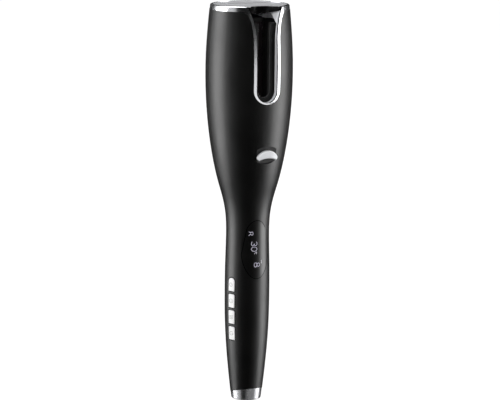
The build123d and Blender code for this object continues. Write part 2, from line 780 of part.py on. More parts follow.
with BuildPart() as motor_can:
    with BuildSketch(Plane.XY.offset(motor_bottom + 1.5)):
        with Locations(motor_place):
            Circle(motor_radius)
    extrude(amount=lower_plate - motor_bottom - 1.5)
    with BuildSketch(Plane.XY.offset(motor_bottom + 1.5)):
        with Locations(motor_place):
            Circle(motor_radius - 0.7)
    extrude(amount=lower_plate - motor_bottom - 3.0, mode=Mode.SUBTRACT)
    with BuildSketch(Plane.XY.offset(lower_plate)):
        with Locations(motor_place):
            Circle(shaft_radius + running_fit)
        with Locations(*motor_screw_places):
            Circle(1.0)
    extrude(amount=-1.5, mode=Mode.SUBTRACT)
motor_can.part.label = "motor_can"
export_step(motor_can.part, "parts/motor_can.step")

with BuildPart() as motor_end_cap:
    with BuildSketch(Plane.XY.offset(motor_bottom)):
        with Locations(motor_place):
            Circle(motor_radius)
            Circle(shaft_radius + running_fit, mode=Mode.SUBTRACT)
    extrude(amount=1.5)
motor_end_cap.part.label = "motor_end_cap"
export_step(motor_end_cap.part, "parts/motor_end_cap.step")

with BuildPart() as motor_magnets:
    with BuildSketch(Plane.XY.offset(motor_bottom + 4)):
        with Locations(motor_place):
            Circle(motor_radius - 0.7)
            Circle(motor_radius - 2.0, mode=Mode.SUBTRACT)
            Rectangle(40, 6, mode=Mode.SUBTRACT)
    extrude(amount=16)
motor_magnets.part.label = "motor_magnets"
export_step(motor_magnets.part, "parts/motor_magnets.step")

with BuildPart() as motor_screws:
    with BuildSketch(Plane.XY.offset(lower_plate + plate_thickness)):
        with Locations(*motor_screw_places):
            Circle(1.6)
    extrude(amount=0.4)
    with BuildSketch(Plane.XY.offset(lower_plate + plate_thickness)):
        with Locations(*motor_screw_places):
            Circle(1.0)
    extrude(amount=-plate_thickness - 1.5)
motor_screws.part.label = "motor_screws"
export_step(motor_screws.part, "parts/motor_screws.step")

with BuildPart() as motor_rotor:
    with BuildSketch(Plane.XY.offset(motor_bottom - 0.6)):
        with Locations(motor_place):
            Circle(shaft_radius)
    extrude(amount=lower_layer + layer_height + 0.4 - motor_bottom + 0.6)
    with BuildSketch(Plane.XY.offset(motor_bottom + 5)):
        with Locations(motor_place):
            Circle(motor_radius - 2.6)
    extrude(amount=14)
motor_rotor.part.label = "motor_rotor"
export_step(motor_rotor.part, "parts/motor_rotor.step")

with BuildPart() as motor_pinion:
    draw_gear(motor_pinion_teeth, train_module, motor_pinion_phase, motor_place, lower_layer, layer_height)
    with BuildSketch(Plane.XY.offset(lower_layer)):
        with Locations(motor_place):
            Circle(shaft_radius)
    extrude(amount=layer_height, mode=Mode.SUBTRACT)
motor_pinion.part.label = "motor_pinion"
export_step(motor_pinion.part, "parts/motor_pinion.step")


# ------------------------------------------------------------------ cells and boards
for cell_name, (cell_y, cell_bottom) in (("battery_cell_lower", lower_cell),
                                         ("battery_cell_upper", upper_cell)):
    with BuildPart() as battery_cell:
        with BuildSketch(Plane.XY.offset(cell_bottom)):
            with Locations((0, cell_y)):
                Circle(cell_radius)
        extrude(amount=cell_length - 1.0)
        fillet(battery_cell.edges().group_by(Axis.Z)[-1], 0.8)
        with BuildSketch(Plane.XY.offset(cell_bottom + cell_length - 1.0)):
            with Locations((0, cell_y)):
                Circle(3.2)
        extrude(amount=1.0)
    battery_cell.part.label = cell_name
    export_step(battery_cell.part, f"parts/{cell_name}.step")

lower_top = lower_cell[1] + cell_length
upper_top = upper_cell[1] + cell_length
with BuildPart() as battery_tabs:
    # Nickel strips: below the lower cell, between the cells and above the upper cell
    with BuildSketch(Plane.XY.offset(lower_cell[1] - 0.4)):
        with Locations((0, lower_cell[0])):
            Rectangle(5, 8)
    extrude(amount=0.4)
    with BuildSketch(Plane.XY.offset(10.0)):
        with Locations((0, charge_board_back + 0.15)):
            Rectangle(4, 0.3)
    extrude(amount=lower_cell[1] - 0.4 - 10.0)
    with BuildSketch(Plane.XY.offset(lower_top)):
        with Locations((0, lower_cell[0] + 1)):
            Rectangle(5, 5)
    extrude(amount=upper_cell[1] - lower_top)
    with BuildSketch(Plane.XY.offset(upper_top)):
        with Locations((0, -2.3)):
            Rectangle(2.4, 11.6)
    extrude(amount=0.3)
    with BuildSketch(Plane.XY.offset(upper_top)):
        with Locations((0, board_back + 0.15)):
            Rectangle(2.4, 0.3)
    extrude(amount=-4)
battery_tabs.part.label = "battery_tabs"
export_step(battery_tabs.part, "parts/battery_tabs.step")

with BuildPart() as battery_cradle:
    with BuildSketch(Plane.XY.offset(cradle_bottom)):
        with GridLocations(2 * rail_middle, 0, 2, 1):
            with Locations((0, 2.1)):
                Rectangle(0.7, 2.6)
    extrude(amount=cradle_top - cradle_bottom)
    with BuildSketch(Plane.XY.offset(cradle_bottom)):
        with Locations((0, 2.1)):
            Rectangle(2 * rail_middle, 2.6)
        Circle(8.0)
        with Locations((0, charge_board_back + 0.15)):
            Rectangle(4.4, 0.7, mode=Mode.SUBTRACT)
    extrude(amount=1.4)
    with BuildSketch(Plane.XY.offset(cradle_top)):
        Circle(14.0)
        with Locations((0, -11.5)):
            Rectangle(40, 10, mode=Mode.SUBTRACT)
    extrude(amount=1.5)
battery_cradle.part.label = "battery_cradle"
export_step(battery_cradle.part, "parts/battery_cradle.step")

with BuildPart() as charge_board:
    with BuildSketch(Plane.XY.offset(2.2)):
        with Locations((0, 1.63 + 0.5)):
            Rectangle(12.6, 1.0)
    extrude(amount=10.8)
    with BuildSketch(Plane.XZ.offset(-charge_board_back)):
        with Locations((-3.4, 6.2)):
            Rectangle(3, 3)
    extrude(amount=-1.0)
charge_board.part.label = "charge_board"
export_step(charge_board.part, "parts/charge_board.step")

with BuildPart() as main_board:
    with BuildSketch(Plane.XY.offset(board_low)):
        with Locations((0, (board_front + board_back) / 2)):
            Rectangle(17, board_back - board_front)
    extrude(amount=board_high - board_low)
    # Controller, drivers and a coil on the front
    with BuildSketch(Plane.XZ.offset(-board_front)):
        with Locations((0, 70.0)):
            Rectangle(7, 7)
        with Locations((-4, 56.0)):
            Rectangle(4, 5)
        with Locations((4, 56.0)):
            Circle(2.4)
    extrude(amount=1.2)
main_board.part.label = "main_board"
export_step(main_board.part, "parts/main_board.step")

with BuildPart() as board_screws:
    with BuildSketch(Plane.XZ.offset(-board_back)):
        with Locations(*post_places):
            Circle(1.1)
    extrude(amount=-0.5)
board_screws.part.label = "board_screws"
export_step(board_screws.part, "parts/board_screws.step")

with BuildPart() as link_ribbon:
    # Flat cable from the charge board to the main board, in front of the lower cell
    with BuildSketch(Plane.XY.offset(13.0)):
        with Locations((0, -3.0)):
            Rectangle(5, 11.0)
    extrude(amount=0.3)
    with BuildSketch(Plane.XY.offset(13.0)):
        with Locations((0, -8.35)):
            Rectangle(5, 0.3)
    extrude(amount=board_low - 13.0)
link_ribbon.part.label = "link_ribbon"
export_step(link_ribbon.part, "parts/link_ribbon.step")

with BuildPart() as heater_leads:
    for side in (-1, 1):
        x = side * lead_places[1][0]
        wire_run([(x, -8.5, board_high), (x, -8.5, 160.0), (x, lead_places[1][1], 172.0),
                  (x, lead_places[1][1], core_low)], 6.0, 0.7)
heater_leads.part.label = "heater_leads"
export_step(heater_leads.part, "parts/heater_leads.step")

with BuildPart() as motor_leads:
    for side in (-1, 1):
        x = side * 5.6
        wire_run([(x, motor_y, motor_bottom), (x, motor_y, 153.2), (x, -8.5, 153.2),
                  (x, -8.5, board_high)], 2.2, 0.6)
motor_leads.part.label = "motor_leads"
export_step(motor_leads.part, "parts/motor_leads.step")


# ------------------------------------------------------------------ display
with BuildPart() as display_window:
    with BuildSketch(Plane.XZ.offset(8)):
        with Locations((0, window_middle)):
            Ellipse(window_half_width, window_half_height)
    extrude(amount=12)
    add(outer_form, mode=Mode.INTERSECT)
    add(cavity_form, mode=Mode.SUBTRACT)
display_window.part.label = "display_window"
export_step(display_window.part, "parts/display_window.step")

with BuildPart() as display_panel:
    with BuildSketch(Plane.XZ.offset(-board_front)):
        with Locations((0, window_middle)):
            Rectangle(12.4, 34)
    extrude(amount=2.6)
display_panel.part.label = "display_panel"
export_step(display_panel.part, "parts/display_panel.step")


# ------------------------------------------------------------------ side keys
with BuildPart() as key_board:
    with BuildSketch(side_plane(key_azimuth, key_group_middle, key_board_distance)):
        Rectangle(7.0, key_pitch * key_count + 3)
    extrude(amount=0.8)
key_board.part.label = "key_board"
export_step(key_board.part, "parts/key_board.step")

with BuildPart() as key_switches:
    for middle in key_middles:
        with BuildSketch(side_plane(key_azimuth, middle, key_board_distance + 0.8)):
            Rectangle(3.4, 3.4)
        extrude(amount=1.0)
        with BuildSketch(side_plane(key_azimuth, middle, key_board_distance + 1.8)):
            Circle(0.8)
        extrude(amount=0.3)
key_switches.part.label = "key_switches"
export_step(key_switches.part, "parts/key_switches.step")

for index, middle in enumerate(key_middles):
    with BuildPart() as side_key:
        with BuildSketch(side_plane(key_azimuth, middle, flange_distance)):
            draw_key(0, index)
        extrude(amount=8)
        add(key_face_form, mode=Mode.INTERSECT)
        outer_face = side_key.faces().sort_by(Axis(origin=(0, 0, 0),
                                                   direction=side_plane(key_azimuth, 0).z_dir))[-1]
        fillet(outer_face.edges(), key_edge)
        with BuildSketch(side_plane(key_azimuth, middle, flange_distance)):
            Rectangle(6.6, key_height + 1.2)
        extrude(amount=0.8)
    side_key.part.label = f"side_key_{index + 1}"
    export_step(side_key.part, f"parts/side_key_{index + 1}.step")


# ------------------------------------------------------------------ curl button
with BuildPart() as button_dome:
    # Ball that gives the curl button its domed face
    with Locations((button_middle_x, button_face_radius - button_front, button_dome_height)):
        Sphere(button_face_radius)

with BuildPart() as curl_button:
    with BuildSketch(Plane.XZ.offset(pad_back - 1)):
        draw_bean(0)
    extrude(amount=12)
    add(button_dome.part, mode=Mode.INTERSECT)
    fillet(curl_button.faces().sort_by(Axis.Y)[0].edges(), button_edge)
    with BuildSketch(Plane.XZ.offset(pad_back - 1.5)):
        draw_bean(flange_margin)
    extrude(amount=1.2)
curl_button.part.label = "curl_button"
export_step(curl_button.part, "parts/curl_button.step")

with BuildPart() as curl_switch_board:
    with BuildSketch(Plane.XZ.offset(switch_board_front - 1.0)):
        with Locations((button_middle_x, 173.8)):
            Rectangle(16, 15)
    extrude(amount=1.0)
curl_switch_board.part.label = "curl_switch_board"
export_step(curl_switch_board.part, "parts/curl_switch_board.step")

with BuildPart() as curl_switch:
    with BuildSketch(Plane.XZ.offset(switch_board_front)):
        with Locations((button_middle_x, switch_middle)):
            Rectangle(6, 6)
    extrude(amount=1.8)
    with BuildSketch(Plane.XZ.offset(switch_board_front + 1.8)):
        with Locations((button_middle_x, switch_middle)):
            Circle(1.6)
    extrude(amount=0.4)
curl_switch.part.label = "curl_switch"
export_step(curl_switch.part, "parts/curl_switch.step")
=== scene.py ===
"""An automatic hair curler: its finishes, printed and lit marks, studio and camera, round the CAD frame.

Metres throughout, in the frame's own axes: +Z up the handle and the front towards -Y.
"""

import math

import bpy
from mathutils import Matrix, Vector
from mathutils.bvhtree import BVHTree


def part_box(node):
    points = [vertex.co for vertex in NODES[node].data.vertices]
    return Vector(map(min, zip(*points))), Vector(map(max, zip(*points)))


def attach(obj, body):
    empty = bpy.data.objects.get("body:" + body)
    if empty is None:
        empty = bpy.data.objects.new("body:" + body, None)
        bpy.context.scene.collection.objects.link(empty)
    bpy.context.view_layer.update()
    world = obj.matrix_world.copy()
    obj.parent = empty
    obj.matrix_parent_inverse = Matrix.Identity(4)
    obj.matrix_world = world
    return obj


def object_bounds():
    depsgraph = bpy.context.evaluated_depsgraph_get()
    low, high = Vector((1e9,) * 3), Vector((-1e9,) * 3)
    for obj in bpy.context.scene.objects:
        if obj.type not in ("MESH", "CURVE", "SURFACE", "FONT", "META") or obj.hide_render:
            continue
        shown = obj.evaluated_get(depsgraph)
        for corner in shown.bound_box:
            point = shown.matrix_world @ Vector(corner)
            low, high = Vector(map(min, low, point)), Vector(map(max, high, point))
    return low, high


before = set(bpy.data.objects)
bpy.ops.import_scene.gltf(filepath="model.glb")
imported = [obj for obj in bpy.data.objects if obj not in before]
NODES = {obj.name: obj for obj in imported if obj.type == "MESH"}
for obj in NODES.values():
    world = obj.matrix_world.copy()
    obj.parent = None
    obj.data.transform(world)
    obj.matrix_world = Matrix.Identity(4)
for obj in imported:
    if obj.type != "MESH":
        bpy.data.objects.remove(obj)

CAD_LOW, CAD_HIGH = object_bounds()
MM = 0.001

# Camera
VIEW_AZIMUTH = math.radians(-25.5)  # from the front, round towards the object's left
VIEW_REACH = 1.4906                 # level distance from the object's axis
VIEW_DIP = math.radians(10.1)       # how far the camera looks down
AIM_HEIGHT = 0.1423
AIM_ASIDE = 1.5 * MM
CAMERA_ROLL = math.radians(0.58)
LENS_MM = 155.46
SENSOR_MM = 36.0

# Display marks
DISPLAY_NODE = "display_window"
DIGIT_TALL = 4.3 * MM
DIGIT_WIDE = 3.0 * MM
DIGIT_STROKE = 0.25 * MM
DISPLAY_GLOW = (0.60, 0.57, 0.80)

# Keys and their marks
KEY_AZIMUTH = math.radians(-69.0)
KEY_TALL = 9.5 * MM
KEY_WIDE = 5.4 * MM
KEY_CORNER = 0.9 * MM
KEY_COUNT = 4
KEY_MARK_STROKE = 0.32 * MM
KEY_MARK_SIZE = 2.9 * MM

MARK_LIFT = 0.03 * MM
MARK_THICKNESS = 0.05 * MM
MARK_STEP = 0.25 * MM

# Level directions, and up
TOWARDS_CAMERA = Vector((math.sin(VIEW_AZIMUTH), -math.cos(VIEW_AZIMUTH), 0))
CAMERA_RIGHT = Vector((math.cos(VIEW_AZIMUTH), math.sin(VIEW_AZIMUTH), 0))
UP = Vector((0, 0, 1))


# ---------------------------------------------------------------- finishes

def link_noise(tree, mapping, scale, detail):
    """A noise texture on the object's own coordinates."""
    noise = tree.nodes.new("ShaderNodeTexNoise")
    noise.inputs["Scale"].default_value = scale
    noise.inputs["Detail"].default_value = detail
    tree.links.new(mapping.outputs["Vector"], noise.inputs["Vector"])
    return noise


def finish(name, shades, rough, metallic=0.0, cloud=45.0, grain=1500.0, depth=0.01 * MM,
           strength=0.35, stretch=(1, 1, 1), **fixed):
    """A finish with cloudy colour and roughness and a fine grain; fixed holds constant shader sockets."""
    made = bpy.data.materials.new(name)
    made.use_nodes = True
    tree = made.node_tree
    shader = tree.nodes["Principled BSDF"]
    place = tree.nodes.new("ShaderNodeTexCoord")
    mapping = tree.nodes.new("ShaderNodeMapping")
    mapping.inputs["Scale"].default_value = stretch
    tree.links.new(place.outputs["Object"], mapping.inputs["Vector"])

    clouds = link_noise(tree, mapping, cloud, 3.0)
    ramp = tree.nodes.new("ShaderNodeValToRGB")
    for element, shade, position in zip(ramp.color_ramp.elements, shades, (0.3, 0.7)):
        element.color = (*shade, 1)
        element.position = position
    tree.links.new(clouds.outputs["Fac"], ramp.inputs["Fac"])
    tree.links.new(ramp.outputs["Color"], shader.inputs["Base Color"])

    spread = tree.nodes.new("ShaderNodeMapRange")
    spread.inputs["From Min"].default_value = 0.3
    spread.inputs["From Max"].default_value = 0.7
    spread.inputs["To Min"].default_value = rough[0]
    spread.inputs["To Max"].default_value = rough[1]
    tree.links.new(clouds.outputs["Fac"], spread.inputs["Value"])
    tree.links.new(spread.outputs["Result"], shader.inputs["Roughness"])

    fine = link_noise(tree, mapping, grain, 4.0)
    bump = tree.nodes.new("ShaderNodeBump")
    bump.inputs["Strength"].default_value = strength
    bump.inputs["Distance"].default_value = depth
    tree.links.new(fine.outputs["Fac"], bump.inputs["Height"])
    tree.links.new(bump.outputs["Normal"], shader.inputs["Normal"])

    shader.inputs["Metallic"].default_value = metallic
    for socket, value in fixed.items():
        shader.inputs[socket.replace("_", " ")].default_value = value
    return made


def grey(value, tint=(1.0, 1.0, 1.0)):
    return tuple(value * t for t in tint)


COOL = (0.98, 0.99, 1.02)
WARM = (1.02, 1.0, 0.96)

FINISHES = {
    "body_black": finish("soft_touch_black", (grey(0.0020), grey(0.0030)), (0.40, 0.46),
                         grain=2600.0, depth=0.012 * MM, strength=0.25),
    "chrome": finish("satin_trim", (grey(0.60, COOL), grey(0.68, COOL)), (0.20, 0.27),
                     metallic=1.0, grain=900.0, depth=0.002 * MM, strength=0.15),
    "satin_silver": finish("satin_plate", (grey(0.80, COOL), grey(0.86, COOL)), (0.34, 0.42),
                           metallic=0.25, grain=2200.0, depth=0.006 * MM, strength=0.3),
    "brushed_cap": finish("brushed_metal_painted_shade", (grey(0.78, COOL), grey(0.88, COOL)), (0.26, 0.34),
                          metallic=0.6, cloud=60.0, grain=900.0, depth=0.004 * MM,
                          strength=0.2, stretch=(0.06, 2.2, 1.0)),
    "band_silver": finish("satin_band", (grey(0.48, COOL), grey(0.56, COOL)), (0.24, 0.30),
                          metallic=1.0, grain=2000.0, depth=0.005 * MM, strength=0.25),
    "window_black": finish("smoked_window", (grey(0.0020), grey(0.0030)), (0.32, 0.36),
                           grain=900.0, depth=0.002 * MM, strength=0.1),
    "key_white": finish("white_keys", (grey(0.74), grey(0.80)), (0.34, 0.42),
                        grain=1800.0, depth=0.006 * MM, strength=0.2),
    "button_silver": finish("pearl_button", (grey(0.74, COOL), grey(0.82, COOL)), (0.30, 0.38),
                            grain=2000.0, depth=0.006 * MM, strength=0.25, Coat_Weight=0.4,
                            Coat_Roughness=0.15),
    "inner_black": finish("moulded_black", (grey(0.008), grey(0.014)), (0.48, 0.62),
                          grain=1400.0, depth=0.02 * MM, strength=0.4),
    "gear_white": finish("natural_acetal", (grey(0.62, WARM), grey(0.70, WARM)), (0.34, 0.46),
                         grain=1100.0, depth=0.01 * MM, Subsurface_Weight=0.1,
                         Subsurface_Radius=(0.001, 0.0008, 0.0006)),
    "steel": finish("plain_steel", (grey(0.48, COOL), grey(0.62, COOL)), (0.22, 0.38),
                    metallic=1.0, cloud=180.0, grain=2600.0, depth=0.01 * MM,
                    stretch=(1, 1, 0.25)),
    "barrel_coat": finish("ceramic_coat", ((0.010, 0.008, 0.009), (0.017, 0.013, 0.014)),
                          (0.24, 0.34), cloud=90.0, grain=3200.0, depth=0.004 * MM,
                          Coat_Weight=0.2, Coat_Roughness=0.2),
    "aluminium": finish("turned_aluminium", (grey(0.66, COOL), grey(0.78, COOL)), (0.30, 0.46),
                        metallic=1.0, cloud=120.0, grain=1500.0, depth=0.015 * MM,
                        stretch=(0.3, 0.3, 3.0)),
    "nickel": finish("nickel_plate", (grey(0.58, WARM), grey(0.70, WARM)), (0.20, 0.34),
                     metallic=1.0, cloud=80.0, grain=1900.0, depth=0.008 * MM),
    "cell_wrap": finish("cell_sleeve", ((0.010, 0.16, 0.12), (0.016, 0.22, 0.165)), (0.26, 0.36),
                        cloud=70.0, grain=900.0, depth=0.03 * MM, Coat_Weight=0.3,
                        Coat_Roughness=0.2),
    "board_green": finish("board_mask", ((0.010, 0.075, 0.028), (0.018, 0.11, 0.040)),
                          (0.28, 0.42), cloud=220.0, grain=1700.0, depth=0.012 * MM,
                          Coat_Weight=0.4, Coat_Roughness=0.2),
    "ceramic_white": finish("alumina", (grey(0.66, WARM), grey(0.78, WARM)), (0.46, 0.60),
                            cloud=140.0, grain=2400.0, depth=0.02 * MM),
    "magnet_grey": finish("sintered_magnet", (grey(0.16), grey(0.26)), (0.40, 0.58),
                          metallic=0.8, cloud=200.0, grain=2600.0, depth=0.02 * MM),
    "wire_red": finish("silicone_sleeve", ((0.30, 0.018, 0.012), (0.40, 0.030, 0.018)),
                       (0.44, 0.58), cloud=160.0, grain=1500.0, depth=0.02 * MM),
}

for node in NODES.values():
    for socket in node.material_slots:
        socket.material = FINISHES[socket.material.name]

COLLAR_SILVER_FROM = 8.6 * MM    # the collar shows its satin plate from this far either side of the middle; nearer the middle, under the top cap, shade is painted near black
COLLAR_SILVER_FULL = 9.0 * MM
FOIL_OR_PAINTED_SHADE_NORMAL = (0.75, 0.85)       # the top cap shows its metal foil where it faces up this much; shade is painted near black where it faces up less
# Painted shade: the near black put on the top cap's sides and on the collar under the top cap, where shade
# falls
PAINTED_SHADE_BLACK = (0.004, 0.004, 0.004, 1)


def shade_painted_cap():
    """Brushed metal foil on the top cap's upper face, and painted shade, near black, wherever it faces up
    less, its cut walls among them.
    """
    made = FINISHES["brushed_cap"]
    tree = made.node_tree
    shader = tree.nodes["Principled BSDF"]
    ramp = next(n for n in tree.nodes if n.type == "VALTORGB")
    surface = tree.nodes.new("ShaderNodeNewGeometry")
    parts = tree.nodes.new("ShaderNodeSeparateXYZ")
    tree.links.new(surface.outputs["True Normal"], parts.inputs["Vector"])
    # Painted shade: cap faces that look up less than this get near black in place of the foil
    foil = tree.nodes.new("ShaderNodeMapRange")
    foil.inputs["From Min"].default_value = FOIL_OR_PAINTED_SHADE_NORMAL[0]
    foil.inputs["From Max"].default_value = FOIL_OR_PAINTED_SHADE_NORMAL[1]
    tree.links.new(parts.outputs["Z"], foil.inputs["Value"])
    mix = tree.nodes.new("ShaderNodeMix")
    mix.data_type = "RGBA"
    mix.inputs["A"].default_value = PAINTED_SHADE_BLACK
    tree.links.new(foil.outputs["Result"], mix.inputs["Factor"])
    tree.links.new(ramp.outputs["Color"], mix.inputs["B"])
    tree.links.new(mix.outputs["Result"], shader.inputs["Base Color"])


shade_painted_cap()


def shade_painted_collar():
    """Satin plate at the collar's cut ends, and painted shade, near black, across the space under the top
    cap.
    """
    made = finish("collar_plate_painted_shade", (grey(0.72, COOL), grey(0.78, COOL)), (0.5, 0.6),
                  grain=2200.0, depth=0.006 * MM, Specular_IOR_Level=0.15)
    tree = made.node_tree
    shader = tree.nodes["Principled BSDF"]
    place = next(n for n in tree.nodes if n.type == "TEX_COORD")
    ramp = next(n for n in tree.nodes if n.type == "VALTORGB")
    across = tree.nodes.new("ShaderNodeSeparateXYZ")
    tree.links.new(place.outputs["Object"], across.inputs["Vector"])
    aside = tree.nodes.new("ShaderNodeMath")
    aside.operation = "ABSOLUTE"
    tree.links.new(across.outputs["X"], aside.inputs[0])
    # Painted shade: near the middle, under the top cap, the collar gets near black in place of its plate
    plate_not_shade = tree.nodes.new("ShaderNodeMapRange")
    plate_not_shade.inputs["From Min"].default_value = COLLAR_SILVER_FROM
    plate_not_shade.inputs["From Max"].default_value = COLLAR_SILVER_FULL
    tree.links.new(aside.outputs["Value"], plate_not_shade.inputs["Value"])
    mix = tree.nodes.new("ShaderNodeMix")
    mix.data_type = "RGBA"
    mix.inputs["A"].default_value = PAINTED_SHADE_BLACK
    tree.links.new(plate_not_shade.outputs["Result"], mix.inputs["Factor"])
    tree.links.new(ramp.outputs["Color"], mix.inputs["B"])
    tree.links.new(mix.outputs["Result"], shader.inputs["Base Color"])
    return made


NODES["chamber_collar"].material_slots[0].material = shade_painted_collar()


def glowing(name, colour, power):
    """The finish of a lit display segment, with a soft unevenness along it."""
    made = finish(name, (grey(0.4), grey(0.5)), (0.4, 0.5), cloud=400.0)
    shader = made.node_tree.nodes["Principled BSDF"]
    shader.inputs["Emission Color"].default_value = (*colour, 1)
    shader.inputs["Emission Strength"].default_value = power
    return made


DISPLAY_LIT = glowing("display_lit", DISPLAY_GLOW, 0.6)
DISPLAY_DIM = glowing("display_dim", DISPLAY_GLOW, 0.3)
KEY_PRINT = finish("key_print", (grey(0.34), grey(0.42)), (0.45, 0.55), cloud=900.0)


# ---------------------------------------------------------------- marks drawn on a curved skin

def skin_reader(node_name):
    """A function that gives the point and outward normal of a node's skin at an azimuth and a height."""
    mesh = NODES[node_name].data
    corners = [v.co for v in mesh.vertices]
    faces = [tuple(p.vertices) for p in mesh.polygons]
    tree = BVHTree.FromPolygons(corners, faces)
    reach = max(CAD_HIGH.x, CAD_HIGH.y) * 2

    def read(azimuth, height):
        outward = Vector((math.sin(azimuth), -math.cos(azimuth), 0))
        point, normal, _, _ = tree.ray_cast(outward * reach + UP * height, -outward)
        return (point, normal) if point else (None, None)
    return read


def arc(centre, radii, start, end, count=28):
    """Points of an elliptical arc, angles in degrees."""
    turns = [math.radians(start + (end - start) * i / count) for i in range(count + 1)]
    return [(centre[0] + radii[0] * math.cos(t), centre[1] + radii[1] * math.sin(t)) for t in turns]


def along(points, step):
    """The points of a polyline, with more between them so that none is further apart than step."""
    dense = [points[0]]
    for a, b in zip(points, points[1:]):
        count = max(1, math.ceil(math.dist(a, b) / step))
        dense += [tuple(p + (q - p) * i / count for p, q in zip(a, b)) for i in range(1, count + 1)]
    return dense


def stroke_mesh(strokes, stroke_width, place):
    """Ribbons along the strokes, laid on a skin by place(x, y), which gives a point and its normal."""
    corners, faces = [], []
    for stroke in strokes:
        laid = [place(x, y) for x, y in along(stroke, MARK_STEP)]
        laid = [(p, n) for p, n in laid if p is not None]
        closed = math.dist(stroke[0], stroke[-1]) < MARK_STEP / 10
        last = len(laid) - 1
        first_corner = len(corners)
        for i, (point, normal) in enumerate(laid):
            before = laid[last - 1][0] if closed and i == 0 else laid[max(i - 1, 0)][0]
            after = laid[1][0] if closed and i == last else laid[min(i + 1, last)][0]
            side = (after - before).normalized().cross(normal).normalized()
            middle = point + normal * MARK_LIFT
            corners += [middle + side * stroke_width / 2, middle - side * stroke_width / 2]
        for i in range(last):
            k = first_corner + 2 * i
            faces.append((k, k + 1, k + 3, k + 2))
    return corners, faces


def mark(name, strokes, stroke_width, place, material, body):
    """One printed or lit mark, a thin closed piece that rides on a body."""
    corners, faces = stroke_mesh(strokes, stroke_width, place)
    mesh = bpy.data.meshes.new(name)
    mesh.from_pydata(corners, [], faces)
    mesh.materials.append(material)
    piece = bpy.data.objects.new(name, mesh)
    bpy.context.scene.collection.objects.link(piece)
    thicken = piece.modifiers.new("thickness", "SOLIDIFY")
    thicken.thickness = MARK_THICKNESS
    thicken.offset = 0.0
    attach(piece, body)


def sized(strokes, wide, tall):
    """Strokes drawn in a unit square round the origin, at their real size."""
    return [[(x * wide, y * tall) for x, y in stroke] for stroke in strokes]


ZERO = [arc((0, 0), (0.5, 0.5), 90, 450)]
EIGHT = [arc((0, 0.25), (0.42, 0.25), 90, 450), arc((0, -0.25), (0.5, 0.25), 90, 450)]
THREE = [arc((-0.02, 0.25), (0.46, 0.25), 160, -90), arc((-0.02, -0.25), (0.5, 0.25), 90, -160)]
DEGREE_C = [arc((-0.32, 0.32), (0.18, 0.18), 90, 450), arc((0.22, 0), (0.34, 0.5), 50, 310)]
LEVEL_BAR = [[(-0.5, 0), (0.5, 0)], [(0.5, 0), (0.5, -0.5)]]
CURL_SIGN = [arc((0, 0.22), (0.42, 0.28), -60, 240), [(-0.5, -0.5), (-0.12, 0.0)],
             [(0.5, -0.5), (0.12, 0.0)]]

display_skin = skin_reader(DISPLAY_NODE)
display_low, display_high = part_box(DISPLAY_NODE)


def on_display(height, aside):
    """Places a mark's own x down the handle and its y round towards +X, from a middle on the window."""
    def place(x, y):
        return display_skin((aside + y) / -display_low.y, height - x)
    return place


# Name, strokes, size down the handle and round it, middle's height, its arc from the front, material
DISPLAY_MARKS = [
    ("display_sign", CURL_SIGN, 2.7 * MM, 3.2 * MM, 121.2 * MM, -4.5 * MM, DISPLAY_LIT),
    ("display_tens", THREE, DIGIT_WIDE, DIGIT_TALL, 113.9 * MM, -2.0 * MM, DISPLAY_LIT),
    ("display_units", ZERO, DIGIT_WIDE, DIGIT_TALL, 110.1 * MM, -2.0 * MM, DISPLAY_LIT),
    ("display_unit_sign", DEGREE_C, 1.8 * MM, 1.9 * MM, 107.2 * MM, -1.0 * MM, DISPLAY_DIM),
    ("display_timer", EIGHT, DIGIT_WIDE, DIGIT_TALL, 98.9 * MM, 0.1 * MM, DISPLAY_LIT),
    ("display_level", LEVEL_BAR, 2.2 * MM, 0.9 * MM, 100.9 * MM, 3.8 * MM, DISPLAY_DIM),
]
for name, strokes, wide, tall, height, aside, material in DISPLAY_MARKS:
    mark(name, sized(strokes, wide, tall), DIGIT_STROKE, on_display(height, aside), material,
         "casing")

SEAM_MARGIN = 0.22 * MM
WINDOW_SEAM_WIDTH = 0.42 * MM
KEY_SEAM_WIDTH = 0.5 * MM
SEAM_BLACK = finish("seam_shadow", (grey(0.0004), grey(0.0008)), (0.8, 0.9), cloud=300.0,
                    Specular_IOR_Level=0.05)


def window_seam():
    """The fine dark joint round the display window, drawn on the casing just outside it."""
    middle = (display_low + display_high) / 2
    half_width = display_high.x + SEAM_MARGIN
    half_height = (display_high.z - display_low.z) / 2 + SEAM_MARGIN
    casing_skin = skin_reader("front_casing")

    def place(x, y):
        radius = -display_low.y
        return casing_skin(math.asin(max(-1.0, min(1.0, x / radius))), middle.z + y)

    mark("window_seam", [arc((0, 0), (half_width, half_height), 0, 360, 120)],
         WINDOW_SEAM_WIDTH, place, SEAM_BLACK, "casing")


def key_outline(margin, top_corner):
    """A key's outline, grown by margin: x down the handle and y round towards the front."""
    tall, wide = KEY_TALL / 2 + margin, KEY_WIDE / 2 + margin
    corners = [(-tall, -wide, top_corner, 180), (tall, -wide, KEY_CORNER, 270),
               (tall, wide, KEY_CORNER, 0), (-tall, wide, top_corner, 90)]
    outline = []
    for x, y, corner, start in corners:
        radius = min(corner + margin, wide)
        centre = (x - math.copysign(radius, x), y - math.copysign(radius, y))
        outline += arc(centre, (radius, radius), start, start + 90, 10)
    return outline + outline[:1]


def key_seam(number):
    """The dark joint round one key, drawn on the casing just outside it. The first key has a round top."""
    key_name = f"side_key_{number}"
    low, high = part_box(key_name)
    height = (low.z + high.z) / 2
    casing_skin = skin_reader("front_casing")
    face = skin_reader(key_name)(KEY_AZIMUTH, height)[0]
    radius = math.hypot(face.x, face.y)
    top_corner = KEY_WIDE / 2 if number == 1 else KEY_CORNER
    outline = key_outline(SEAM_MARGIN + KEY_SEAM_WIDTH / 2, top_corner)

    def place(x, y):
        return casing_skin(KEY_AZIMUTH + math.asin(y / radius), height - x)

    mark(f"key_{number}_seam", [outline], KEY_SEAM_WIDTH, place, SEAM_BLACK, "casing")


window_seam()
for number in range(1, KEY_COUNT + 1):
    key_seam(number)

